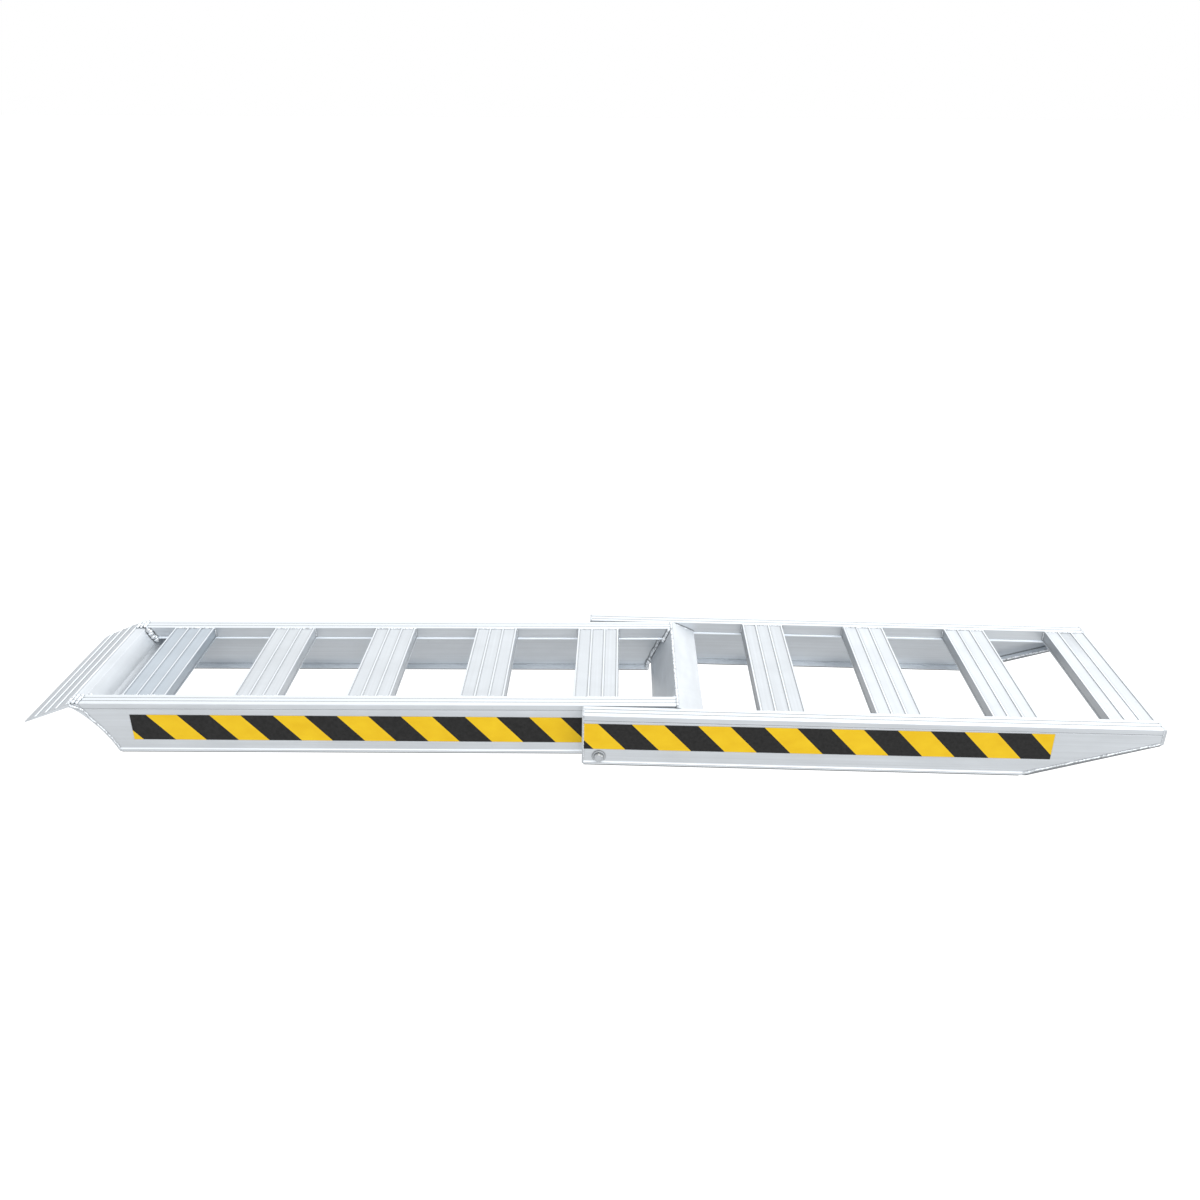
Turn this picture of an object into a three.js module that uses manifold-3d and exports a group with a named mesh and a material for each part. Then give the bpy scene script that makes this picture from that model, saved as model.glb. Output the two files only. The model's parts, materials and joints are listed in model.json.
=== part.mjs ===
// Folding loading ramp: two ladder-like aluminium sections on a pair of pivot bolts.
// Millimetres, +Z up, +X towards the ground end, origin on the floor under the middle of the ramp.
// The upper (truck) section nests between the rails of the lower (ground) section at the joint.
// Each section is drawn in its own frame, with x = 0 at the pivot bolts and z = 0 at the rails'
// underside. It is then tilted a little about the bolts, because the open ramp stands slightly
// arched: its joint is JOINT_RISE higher than it would be with both sections flat on the floor.
import * as THREE from 'three'
import { mergeVertices } from 'three/addons/utils/BufferGeometryUtils.js'
import Module from 'manifold-3d'

const wasm = await Module()
wasm.setup()

// Driving dimensions
const WIDTH = 400                 // over the outer faces of the lower section's rails
const RAIL_HEIGHT = 100
const RAIL_WIDTH = 31             // the rail's box chord, across
const LOWER_LEFT = { hinge: -27, nose: 973 }    // the lower rails' ends, from the pivot; the right
const LOWER_RIGHT = { hinge: -30, nose: 977 }   // rail was cut a little longer
const PIVOT_HEIGHT = 17.7         // bolt centre above the rails' underside
const JOINT_RISE = 10             // how far the open ramp's joint stands off the floor
const SECTION_GAP = 4             // between a lower rail's chord and the upper rail beside it
const RUNG_PITCH = 203
const RUNG_WIDTH = 80
const TAPER_START = 752           // where the lower rails leave the floor, from the pivot
const NOSE_HEIGHT = 33            // height of the lower rails at the ground end
const GAP = 0.3                   // clearance where two pieces meet inside a tilted section
const OVER = 10                   // how far a cutting tool runs past what it cuts

// Rail extrusion
const WEB = 3
const CHORD_DEPTH = 22            // box chord above the ledge that the rungs stand on
const LEDGE_WIDTH = 2.5
const LEDGE_THICKNESS = 2.5
const CHORD_WALL = 2.5
const FLANGE_WIDTH = 21
const FLANGE_THICKNESS = 2.5
const FOOT_HEIGHT = 5.4
const FOOT_PROUD = 1
const RAIL_EDGE = 1.2             // broken outer corner of the chord
const TOP_GROOVES = [9, 20]       // distance of the chord's top grooves from the outer face
const TOP_GROOVE_WIDTH = 3
const TOP_GROOVE_DEPTH = 0.9
const SIDE_GROOVE_DROP = 11       // depth of the web's outer groove below the rail's top
const SIDE_GROOVE_SIZE = 0.8
const LEDGE_HEIGHT = RAIL_HEIGHT - CHORD_DEPTH

// Rungs
const RUNG_WALL = 3
const RIB_COUNT = 4
const RIB_WIDTH = 3.6
const RIB_HEIGHT = 1.5
const RUNG_BEAD = 1.2             // lip along the foot of each side wall
const RUNG_BEAD_HEIGHT = 3
const UPPER_RUNGS = 5
const LOWER_RUNGS = 4
const FIRST_UPPER_RUNG = -859     // edge nearest the truck
const FIRST_LOWER_RUNG = 281

// Hook at the truck end: a ribbed lip, a level land behind it and a bowed web that closes the rails
const HOOK_WALL = 4
const CREST_X = -943              // where the lip meets the land
const LAND_WIDTH = 19
const LIP_REACH = 86
const LIP_DROP = 36
const LIP_TIP = 2                 // thickness at the tip, and at the root below
const LIP_ROOT = 6
const LIP_RIB_PITCH = 20.6
const LIP_RIB_WIDTH = 5
const LIP_RIB_HEIGHT = 1.8
const TIP_CORNERS = { left: 7, right: 1.5 }
const HOOK_SKEW = 5               // how far the left end stands nearer to the pivots than the right
const TIP_SKEW = 5                // how much more the tip is cut back on the left
const WEB_TOP_X = -936            // ends of the web's lower-left face
const WEB_TOP_Z = 89
const WEB_FOOT_X = -867.5
const WEB_BOW = 7.6
const WEB_THICK_Z = 67            // above this height the web thickens towards the land
const WEB_ARC_STEPS = 12

// Stop angle on the upper section's tail: one leg closes the rails, one lands on the ledges
const TAIL_TOP_X = 137
const STOP_TILT = THREE.MathUtils.degToRad(25)
const STOP_WALL = 4
const STOP_LEG = 53               // the landing leg, along its slope
const STOP_FOOT_Z = 17            // lower edge of the closing leg
const STOP_SIDE_GAP = 0.5

// Ends of the lower rails
const END_CAP = 3
const NOSE_CAP = 5
const NOSE_ROUND = 3.5
const CAP_ROUND = 3
const SHOE_THICKNESS = 4

// Hazard tape, laid a little off parallel: its foot at the start, and its rise towards the end
const TAPE_WIDTH = 51
const TAPE_THICKNESS = 0.4
const LOWER_TAPE = { start: -26.5, end: 787, foot: 32.5, rise: 2.5 }
const UPPER_TAPE = { start: -836, end: -10, foot: 26.2, rise: -2.7 }

// M10 pivot bolts
const BOLT_RADIUS = 5
const HOLE_RADIUS = 5.5
const HEAD_ACROSS_FLATS = 17
const HEAD_HEIGHT = 6.4
const WASHER_RADIUS = 11
const WASHER_THICKNESS = 2
const NUT_HEIGHT = 10
const THREAD_PAST_NUT = 3
const SPACER_RADIUS = 8.5
const ROUND_SEGMENTS = 32

const HALF = WIDTH / 2
const CHORD_FACE = HALF - RAIL_WIDTH
const UPPER_HALF = CHORD_FACE - SECTION_GAP
const UPPER_CHORD_FACE = UPPER_HALF - RAIL_WIDTH
const lowerEnds = (side) => (side > 0 ? LOWER_LEFT : LOWER_RIGHT)

// Finishes
const finish = (color, roughness, metalness) => () =>
  new THREE.MeshStandardMaterial({ color, roughness, metalness })
const railAluminium = finish(0xc9ced4, 0.42, 1)
const treadAluminium = finish(0xe2e6ea, 0.38, 1)
const plateAluminium = finish(0xd6dade, 0.4, 1)
const zincSteel = finish(0xb4b8bc, 0.35, 1)
const hazardTape = finish(0xf0b81e, 0.45, 0)

// Geometry helpers
const ALONG_X = new THREE.Matrix4().makeBasis(
  new THREE.Vector3(0, 1, 0), new THREE.Vector3(0, 0, 1), new THREE.Vector3(1, 0, 0))
const ACROSS_Y = new THREE.Matrix4().makeBasis(
  new THREE.Vector3(1, 0, 0), new THREE.Vector3(0, 0, 1), new THREE.Vector3(0, -1, 0))

function outline(points) {
  return new THREE.Shape(points.map(([a, b]) => new THREE.Vector2(a, b)))
}

// Extrudes a (y, z) outline from one x to another.
function alongX(shape, from, to) {
  const geometry = new THREE.ExtrudeGeometry(shape, { depth: to - from, bevelEnabled: false })
  return geometry.applyMatrix4(ALONG_X).translate(from, 0, 0)
}

// Extrudes an (x, z) outline from one y to another, whichever is lower.
function acrossY(shape, yA, yB) {
  const settings = { depth: Math.abs(yB - yA), bevelEnabled: false, curveSegments: 6 }
  return new THREE.ExtrudeGeometry(shape, settings).applyMatrix4(ACROSS_Y).translate(0, Math.max(yA, yB), 0)
}

function solidOf(geometry) {
  const bare = geometry.clone()
  bare.deleteAttribute('normal')
  bare.deleteAttribute('uv')
  const merged = mergeVertices(bare, 1e-4)
  const vertProperties = new Float32Array(merged.attributes.position.array)
  const triVerts = new Uint32Array(merged.index.array)
  return new wasm.Manifold(new wasm.Mesh({ numProp: 3, vertProperties, triVerts }))
}

function geometryOf(solid) {
  const mesh = solid.getMesh()
  const geometry = new THREE.BufferGeometry()
  geometry.setAttribute('position', new THREE.BufferAttribute(mesh.vertProperties, 3))
  geometry.setIndex(new THREE.BufferAttribute(mesh.triVerts, 1))
  return geometry
}

function cut(geometry, ...tools) {
  return geometryOf(tools.reduce((solid, tool) => solid.subtract(solidOf(tool)), solidOf(geometry)))
}

function join(geometry, ...others) {
  return geometryOf(others.reduce((solid, other) => solid.add(solidOf(other)), solidOf(geometry)))
}

// A disc or drum about the pivot axis; faces run from one y to another, whichever is lower.
function drum(radius, yA, yB, segments = ROUND_SEGMENTS) {
  const geometry = new THREE.CylinderGeometry(radius, radius, Math.abs(yB - yA), segments)
  return geometry.translate(0, (yA + yB) / 2, PIVOT_HEIGHT)
}

// The rail's section for one side of the ramp: `face` is its outer face and `side` is +1 on the
// left (+Y) and -1 on the right, so distances from the outer face run inwards on both.
function railSection(face, side) {
  const grooves = TOP_GROOVES.flatMap((at) => [
    [at, RAIL_HEIGHT], [at + 0.5, RAIL_HEIGHT - TOP_GROOVE_DEPTH],
    [at + TOP_GROOVE_WIDTH - 0.5, RAIL_HEIGHT - TOP_GROOVE_DEPTH], [at + TOP_GROOVE_WIDTH, RAIL_HEIGHT],
  ])
  const grooveZ = RAIL_HEIGHT - SIDE_GROOVE_DROP
  const points = [
    [-FOOT_PROUD, 0], [FLANGE_WIDTH, 0], [FLANGE_WIDTH, FLANGE_THICKNESS], [WEB, FLANGE_THICKNESS],
    [WEB, LEDGE_HEIGHT - LEDGE_THICKNESS],
    [RAIL_WIDTH + LEDGE_WIDTH, LEDGE_HEIGHT - LEDGE_THICKNESS],
    [RAIL_WIDTH + LEDGE_WIDTH, LEDGE_HEIGHT], [RAIL_WIDTH, LEDGE_HEIGHT],
    [RAIL_WIDTH, RAIL_HEIGHT],
    ...grooves.reverse(),
    [RAIL_EDGE, RAIL_HEIGHT], [0, RAIL_HEIGHT - RAIL_EDGE],
    [0, grooveZ + SIDE_GROOVE_SIZE], [SIDE_GROOVE_SIZE, grooveZ], [0, grooveZ - SIDE_GROOVE_SIZE],
    [0, FOOT_HEIGHT + FOOT_PROUD], [-FOOT_PROUD, FOOT_HEIGHT],
  ]
  return outline(points.map(([inward, z]) => [side * (face - inward), z]))
}

function railHollow(face, side) {
  const [floor, roof] = [LEDGE_HEIGHT, RAIL_HEIGHT - CHORD_WALL]
  const innerWall = RAIL_WIDTH - CHORD_WALL
  const points = [[WEB, floor], [innerWall, floor], [innerWall, roof], [WEB, roof]]
  return outline(points.map(([inward, z]) => [side * (face - inward), z]))
}

// A rail with its hollow chord and the bolt hole near its hinge end, before its ends are trimmed.
function railBlank(face, side, from, to) {
  const hollow = alongX(railHollow(face, side), from - OVER, to + OVER)
  const hole = drum(HOLE_RADIUS, side * (face + OVER), side * (face - WEB - OVER))
  return cut(alongX(railSection(face, side), from, to), hollow, hole)
}

// The bowed web of the hook: points of an arc `offset` outside its lower-left face,
// from the top of the rails to their underside.
const chord = new THREE.Vector2(WEB_FOOT_X - WEB_TOP_X, -WEB_TOP_Z)
const webRadius = (chord.lengthSq() / 4 + WEB_BOW ** 2) / (2 * WEB_BOW)
const webNormal = new THREE.Vector2(-chord.y, chord.x).normalize()
const webCentre = new THREE.Vector2((WEB_TOP_X + WEB_FOOT_X) / 2, WEB_TOP_Z / 2)
  .addScaledVector(webNormal, WEB_BOW - webRadius)

function webAt(offset, z) {
  const radius = webRadius + offset
  return [webCentre.x + Math.sqrt(radius ** 2 - (z - webCentre.y) ** 2), z]
}

function webArc(offset, topZ, footZ) {
  const step = (topZ - footZ) / WEB_ARC_STEPS
  return Array.from({ length: WEB_ARC_STEPS + 1 }, (_, i) => webAt(offset, topZ - i * step))
}

// A point of the lip's surface, or so far above it. The ribs' crests reach the rails' top.
function lipAt(x, above = 0) {
  const slope = LIP_DROP / LIP_REACH
  return [x, RAIL_HEIGHT - (CREST_X - x) * slope + (above - LIP_RIB_HEIGHT) * Math.hypot(1, slope)]
}

// The hook's inner face, from its land down to `footZ`; the upper rails end `gap` short of it.
function hookFace(gap, footZ) {
  const landZ = lipAt(CREST_X)[1]
  return [[CREST_X + LAND_WIDTH + gap, landZ], ...webArc(HOOK_WALL + gap, WEB_THICK_Z, footZ)]
}

// Turns something drawn square across the ramp into the hook's slight skew.
function skewed(geometry) {
  const slope = HOOK_SKEW / (2 * UPPER_HALF)
  return geometry.applyMatrix4(new THREE.Matrix4().set(
    1, slope, 0, HOOK_SKEW / 2,
    0, 1, 0, 0,
    0, 0, 1, 0,
    0, 0, 0, 1,
  ))
}

// Two long prisms that trim the ends of an upper rail to the hook's web and the stop angle.
function upperRailTrims() {
  const [low, high] = [-OVER, RAIL_HEIGHT + OVER]
  const face = hookFace(GAP, low)
  const hookSide = [[face[0][0], high], ...face, [CREST_X - OVER, low], [CREST_X - OVER, high]]
  const tailAt = (z) => TAIL_TOP_X + (z - RAIL_HEIGHT) * Math.tan(STOP_TILT)
  const beyond = tailAt(high) + OVER
  const tailSide = [[tailAt(high), high], [tailAt(low), low], [beyond, low], [beyond, high]]
  const [hookTrim, tailTrim] = [hookSide, tailSide].map((points) => acrossY(outline(points), -WIDTH, WIDTH))
  return [skewed(hookTrim), tailTrim]
}

function upperRail(side) {
  return cut(railBlank(UPPER_HALF, side, CREST_X, TAIL_TOP_X + OVER), ...upperRailTrims())
}

// The taper's underside as a line: height above the rails' underside at x.
const taperSlope = (RAIL_HEIGHT - NOSE_HEIGHT) / (LOWER_LEFT.nose - TAPER_START)
const taperStretch = Math.hypot(1, taperSlope)
const taperAt = (x, above = 0) => (x - TAPER_START) * taperSlope + above * taperStretch

function lowerRail(side) {
  const { hinge, nose } = lowerEnds(side)
  const above = SHOE_THICKNESS + GAP
  const [start, end] = [TAPER_START - RAIL_HEIGHT, nose + OVER]
  const low = taperAt(start, above)
  const under = [[start, low], [end, low], [end, taperAt(end, above)]]
  const taper = acrossY(outline(under), -WIDTH, WIDTH)
  return cut(railBlank(HALF, side, hinge + END_CAP + GAP, nose - NOSE_CAP - GAP), taper)
}

// A flat bar along the taper, feathered to nothing where the taper meets the floor.
function taperShoe(side) {
  const feather = TAPER_START - SHOE_THICKNESS * taperStretch / taperSlope
  const end = lowerEnds(side).nose - NOSE_CAP - GAP
  const bar = [[feather, 0], [TAPER_START, 0], [end, taperAt(end)], [end, taperAt(end, SHOE_THICKNESS)]]
  return acrossY(outline(bar), side * HALF, side * (HALF - FLANGE_WIDTH))
}

function hingeEndCap(side) {
  const [inner, outer] = [side * CHORD_FACE, side * HALF]
  const r = CAP_ROUND
  const plate = outline([
    [inner, 0], [outer - side * r, 0], [outer, r], [outer, RAIL_HEIGHT - r],
    [outer - side * r, RAIL_HEIGHT], [inner, RAIL_HEIGHT],
  ])
  const { hinge } = lowerEnds(side)
  return alongX(plate, hinge, hinge + END_CAP)
}

// A thick end plate whose outer edges are rounded over.
function noseCap(side) {
  const { nose } = lowerEnds(side)
  const foot = taperAt(nose)
  const back = nose - NOSE_CAP
  const turn = nose - NOSE_ROUND
  const shape = new THREE.Shape()
  shape.moveTo(back, foot)
  shape.lineTo(turn, foot)
  shape.absarc(turn, foot + NOSE_ROUND, NOSE_ROUND, -Math.PI / 2, 0, false)
  shape.absarc(turn, RAIL_HEIGHT - NOSE_ROUND, NOSE_ROUND, 0, Math.PI / 2, false)
  shape.lineTo(back, RAIL_HEIGHT)
  return acrossY(shape, side * HALF, side * CHORD_FACE)
}

// Ribbed tread channel, open underneath, standing on the rails' ledges.
function rung(left, half) {
  const foot = LEDGE_HEIGHT + GAP
  const deck = RAIL_HEIGHT - RIB_HEIGHT
  const right = left + RUNG_WIDTH
  const ribPitch = (RUNG_WIDTH - RIB_WIDTH) / (RIB_COUNT - 1)
  const ribs = Array.from({ length: RIB_COUNT }, (_, i) => left + i * ribPitch).flatMap((x) => [
    [x, deck], [x + 0.4, RAIL_HEIGHT], [x + RIB_WIDTH - 0.4, RAIL_HEIGHT], [x + RIB_WIDTH, deck],
  ])
  const points = [
    [left - RUNG_BEAD, foot], [left - RUNG_BEAD, foot + RUNG_BEAD_HEIGHT], [left, foot + RUNG_BEAD_HEIGHT],
    ...ribs,
    [right, foot + RUNG_BEAD_HEIGHT], [right + RUNG_BEAD, foot + RUNG_BEAD_HEIGHT], [right + RUNG_BEAD, foot],
    [right - RUNG_WALL, foot], [right - RUNG_WALL, deck - RUNG_WALL],
    [left + RUNG_WALL, deck - RUNG_WALL], [left + RUNG_WALL, foot],
  ]
  return acrossY(outline(points), -half, half)
}

// A prism that trims the lip's tip and its two corners.
function tipTrim() {
  const right = CREST_X - LIP_REACH
  const left = right + HOOK_SKEW + TIP_SKEW
  const beyond = UPPER_HALF + OVER
  const trim = outline([
    [right - OVER, -beyond], [right + TIP_CORNERS.right + OVER, -beyond],
    [right, TIP_CORNERS.right - UPPER_HALF], [left, UPPER_HALF - TIP_CORNERS.left],
    [left + TIP_CORNERS.left + OVER, beyond], [right - OVER, beyond],
  ])
  return new THREE.ExtrudeGeometry(trim, { depth: RAIL_HEIGHT, bevelEnabled: false })
}

// The hook: a ribbed lip that rests on the truck bed and a bowed web against the bed's edge.
function hook() {
  const tip = CREST_X - LIP_REACH
  const ribs = Array.from({ length: RIB_COUNT }, (_, i) => CREST_X - i * LIP_RIB_PITCH).flatMap((x) => [
    lipAt(x), lipAt(x - 1.2, LIP_RIB_HEIGHT), lipAt(x - LIP_RIB_WIDTH + 1.2, LIP_RIB_HEIGHT),
    lipAt(x - LIP_RIB_WIDTH),
  ])
  const profile = outline([
    ...hookFace(0, 0).reverse(), ...ribs, lipAt(tip), lipAt(tip, -LIP_TIP), lipAt(CREST_X, -LIP_ROOT),
    ...webArc(0, WEB_TOP_Z, 0),
  ])
  return cut(skewed(acrossY(profile, -UPPER_HALF, UPPER_HALF)), tipTrim())
}

// The stop angle: its closing leg follows the rails' slanted ends, its wider landing leg slopes
// down to the lower rails' ledges.
function stopAngle() {
  const [s, c] = [Math.sin(STOP_TILT), Math.cos(STOP_TILT)]
  const top = [TAIL_TOP_X + GAP / c, RAIL_HEIGHT]
  const along = (out, down) => [top[0] + out * c - down * s, top[1] - out * s - down * c]
  const legLength = (RAIL_HEIGHT - STOP_FOOT_Z) / c
  const leg = (out, down) => outline([along(0, 0), along(0, down), along(out, down), along(out, 0)])
  const closing = leg(STOP_WALL, legLength)
  const landing = leg(STOP_LEG, STOP_WALL)
  const reach = CHORD_FACE - STOP_SIDE_GAP
  return join(acrossY(closing, -UPPER_HALF, UPPER_HALF), acrossY(landing, -reach, reach))
}

function tape(face, side, { start, end, foot, rise }) {
  const strip = outline([
    [start, foot], [end, foot + rise], [end, foot + rise + TAPE_WIDTH], [start, foot + TAPE_WIDTH],
  ])
  return acrossY(strip, side * face, side * (face + TAPE_THICKNESS))
}

// Pivot hardware for one side, from the outside in: bolt, washer, lower rail's web, spacer,
// upper rail's web, washer, lock nut.
const NUT_FACE = UPPER_HALF - WEB - WASHER_THICKNESS

function hexagon(yA, yB) {
  return drum(HEAD_ACROSS_FLATS / Math.sqrt(3), yA, yB, 6)
}

function pivotBolt(side) {
  const seat = HALF + WASHER_THICKNESS
  const tipY = NUT_FACE - NUT_HEIGHT - THREAD_PAST_NUT
  const head = hexagon(side * seat, side * (seat + HEAD_HEIGHT))
  return join(head, drum(BOLT_RADIUS, side * tipY, side * (seat + HEAD_HEIGHT / 2)))
}

function pivotWasher(side, face) {
  const ring = drum(WASHER_RADIUS, side * face, side * (face + WASHER_THICKNESS))
  return cut(ring, drum(HOLE_RADIUS, side * (face - OVER), side * (face + WASHER_THICKNESS + OVER)))
}

function pivotSpacer(side) {
  const [inner, outer] = [UPPER_HALF + GAP, HALF - WEB]
  const bore = drum(HOLE_RADIUS, side * (inner - OVER), side * (outer + OVER))
  return cut(drum(SPACER_RADIUS, side * inner, side * outer), bore)
}

function pivotNut(side) {
  const bore = drum(BOLT_RADIUS + GAP / 2, side * (NUT_FACE - NUT_HEIGHT - OVER), side * (NUT_FACE + OVER))
  return cut(hexagon(side * (NUT_FACE - NUT_HEIGHT), side * NUT_FACE), bore)
}

// Assembly
function add(section, name, geometry, material) {
  const mesh = new THREE.Mesh(geometry, material())
  mesh.name = name
  section.add(mesh)
}

function addLowerSection(section) {
  for (const [word, side] of [['left', 1], ['right', -1]]) {
    add(section, `lower_rail_${word}`, lowerRail(side), railAluminium)
    add(section, `hinge_end_cap_${word}`, hingeEndCap(side), plateAluminium)
    add(section, `nose_cap_${word}`, noseCap(side), plateAluminium)
    add(section, `taper_shoe_${word}`, taperShoe(side), plateAluminium)
    add(section, `lower_tape_${word}`, tape(HALF, side, LOWER_TAPE), hazardTape)
    add(section, `pivot_bolt_${word}`, pivotBolt(side), zincSteel)
    add(section, `outer_washer_${word}`, pivotWasher(side, HALF), zincSteel)
    add(section, `pivot_spacer_${word}`, pivotSpacer(side), zincSteel)
    add(section, `inner_washer_${word}`, pivotWasher(side, NUT_FACE), zincSteel)
    add(section, `pivot_nut_${word}`, pivotNut(side), zincSteel)
  }
  for (let i = 0; i < LOWER_RUNGS; i++) {
    const tread = rung(FIRST_LOWER_RUNG + i * RUNG_PITCH, CHORD_FACE)
    add(section, `lower_rung_${i + 1}`, tread, treadAluminium)
  }
}

function addUpperSection(section) {
  for (const [word, side] of [['left', 1], ['right', -1]]) {
    add(section, `upper_rail_${word}`, upperRail(side), railAluminium)
    add(section, `upper_tape_${word}`, tape(UPPER_HALF, side, UPPER_TAPE), hazardTape)
  }
  for (let i = 0; i < UPPER_RUNGS; i++) {
    const tread = rung(FIRST_UPPER_RUNG + i * RUNG_PITCH, UPPER_CHORD_FACE)
    add(section, `upper_rung_${i + 1}`, tread, treadAluminium)
  }
  add(section, 'truck_hook', hook(), plateAluminium)
  add(section, 'stop_angle', stopAngle(), plateAluminium)
}

// A section turned about the pivot bolts, which stand at `height`, until the corner of its
// underside at `contactX` meets the floor.
function tiltedSection(fill, contactX, height) {
  const section = new THREE.Group()
  fill(section)
  section.children.forEach((mesh) => mesh.geometry.translate(0, 0, -PIVOT_HEIGHT))
  const reach = Math.hypot(contactX, PIVOT_HEIGHT)
  const tilt = Math.asin(height / reach) - Math.asin(PIVOT_HEIGHT / reach)
  section.rotation.y = Math.sign(contactX) * tilt
  section.position.z = height
  return section
}

const ramp = new THREE.Group()
const pivotHeight = PIVOT_HEIGHT + JOINT_RISE
ramp.add(tiltedSection(addLowerSection, TAPER_START, pivotHeight))
ramp.add(tiltedSection(addUpperSection, WEB_FOOT_X, pivotHeight))

const span = new THREE.Box3().setFromObject(ramp, true)
ramp.position.x = -(span.min.x + span.max.x) / 2

export default ramp
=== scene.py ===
"""The looks of the folding loading ramp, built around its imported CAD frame.

Metres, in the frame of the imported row: +X towards the ground end, +Y to the left, +Z up.
Each half of the ramp also has a straight frame of its own (see Section), because the open ramp
stands slightly arched. Welds, bolts and tape stripes are placed in those frames.
"""

import json
import math
import random

import bmesh
import bpy
from mathutils import Matrix, Vector

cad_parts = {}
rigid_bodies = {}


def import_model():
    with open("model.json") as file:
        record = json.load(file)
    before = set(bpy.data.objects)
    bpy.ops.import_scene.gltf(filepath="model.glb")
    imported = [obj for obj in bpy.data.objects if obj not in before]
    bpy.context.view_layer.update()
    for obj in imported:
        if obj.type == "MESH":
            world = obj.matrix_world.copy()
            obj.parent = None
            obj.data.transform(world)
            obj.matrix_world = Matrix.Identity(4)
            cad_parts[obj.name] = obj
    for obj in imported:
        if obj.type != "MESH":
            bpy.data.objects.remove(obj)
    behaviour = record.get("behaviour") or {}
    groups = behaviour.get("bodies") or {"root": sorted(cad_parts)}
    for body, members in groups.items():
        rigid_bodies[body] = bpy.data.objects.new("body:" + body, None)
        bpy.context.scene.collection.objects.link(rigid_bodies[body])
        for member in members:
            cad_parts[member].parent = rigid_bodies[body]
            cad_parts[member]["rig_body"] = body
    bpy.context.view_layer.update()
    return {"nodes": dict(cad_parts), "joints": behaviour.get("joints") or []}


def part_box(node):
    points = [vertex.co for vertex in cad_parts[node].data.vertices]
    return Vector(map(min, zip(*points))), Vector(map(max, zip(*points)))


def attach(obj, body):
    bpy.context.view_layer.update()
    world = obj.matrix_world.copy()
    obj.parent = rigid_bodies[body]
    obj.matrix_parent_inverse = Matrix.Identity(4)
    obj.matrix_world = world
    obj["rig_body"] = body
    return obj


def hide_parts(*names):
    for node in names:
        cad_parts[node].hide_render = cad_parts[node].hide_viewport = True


MM = 0.001
SIDES = ((1, "left"), (-1, "right"))     # the sign of y on each side of the ramp

# Camera, as in the photograph
CAMERA_PLACE = (0.057, -1.862, 1.120)
CAMERA_PITCH = 25.38              # degrees below the horizon
CAMERA_YAW = 1.04
CAMERA_ROLL = 0.25
CAMERA_LENS = 33.6                # for the default sensor, 36 mm wide

# Stage: how brightly the floor and the dome light the ramp; the camera sees both as white
FLOOR_SIZE = 60
FLOOR_GLOW = 0.58
FLOOR_SHADE = 0.2
SKY_TOP = 1.4
SKY_FRONT = 1.0                   # at the horizon, in front and behind
SKY_SIDE = 0.45                   # at the horizon, beyond the ramp's ends
SKY_LEAN = 0.42                   # how much brighter the right is than the middle
SKY_RISE = 0.35                   # sine of the elevation where the dome reaches SKY_TOP
KEY_PLACE = (1.6, -0.6, 3.2)
KEY_SIZE = 2.4
KEY_POWER = 45                    # watts

# Edges
EDGE_ROUNDING = 0.4 * MM
JOIN_DISTANCE = 0.01 * MM
FLAT_ANGLE = 0.5                  # degrees; faces that meet at less are one face
SHARP_ANGLE = 35                  # degrees; edges that turn by more are rounded

# Hazard tape: lengths in a section's own frame
STRIPE_PERIOD = {"lower": 115.3 * MM, "upper": 113.6 * MM}
STRIPE_LEAN = {"lower": 0.96, "upper": 0.89}      # along the rail for each unit of height
STRIPE_START = {"lower": 4.7 * MM, "upper": -71.9 * MM}   # of a yellow one, at the pivots' height
YELLOW_SHARE = 0.488
INK = ((0.007, 0.007, 0.007, 1), (0.023, 0.023, 0.023, 1))
PAINT = ((0.74, 0.46, 0.005, 1), (0.80, 0.53, 0.010, 1))
TAPE_ROUGH = (0.40, 0.6)
TAPE_SHEEN = 0.25
TAPE_BUMP = 0.05 * MM
TAPE_BUMP_STRENGTH = 0.4

# Weld beads: their radii, how far their middles stand off the faces, and the lengths of ripples
RIPPLE_STEPS = 5                  # rings along one ripple
RIPPLE_FALL = 0.4                 # how much a ripple narrows along its length
RIPPLE_WANDER = 0.15              # how far a ripple strays from the path, in bead radii
RIPPLE_SWELL = 0.15               # how much ripples differ in size
BEAD_START = 0.4                  # share of its full radius that a bead starts with
BEAD_SIDES = 8
TUBE_START = Vector((0.31, 0.67, 0.67))  # where a tube's first corner points; no path runs this way
TRACE_STEP = 6 * MM               # spacing of a path's points along a curved cut
ON_FACE = 0.1 * MM                # a corner this near to a face is on it
HEIGHT_DIGITS = 5                 # of metres, where corners at one height become one
FINE_RIPPLE = 4 * MM
RIPPLE = 5 * MM
COARSE_RIPPLE = 6 * MM
LONG_RIPPLE = 8 * MM
SMOOTH_RIPPLE = 16 * MM
RUNG_BEAD = 1.9 * MM
MOUND_ROWS = 3                    # beads side by side over each rail's end at the hook
MOUND_RADIUS = 4 * MM
DROP_RADIUS = 3 * MM              # coarse drops between the hook's crest and the outer bead
DROPS_DEPTH = 14 * MM             # how far below the rail's top they reach
OUTER_BEAD = 1.8 * MM
OUTER_RIPPLE = 7 * MM
FAT_BEAD = 6.5 * MM               # inside the hook, down the rail's chord
FAT_BEAD_INSET = 3.2 * MM
FAT_BEAD_PAST_LEDGE = 8 * MM
INNER_BEAD = 3 * MM
INNER_BEAD_INSET = 1.5 * MM
STOP_BEAD = 4.4 * MM
STOP_BEAD_INSET = 2 * MM
STOP_EDGE_BEAD = 2.4 * MM
STOP_EDGE_INSET = 3.2 * MM        # keeps the bead clear of the lower rails
SEAM_BEAD = 2.6 * MM
TAPER_BEAD = 1.9 * MM
CAP_BEAD = 0.8 * MM

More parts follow.
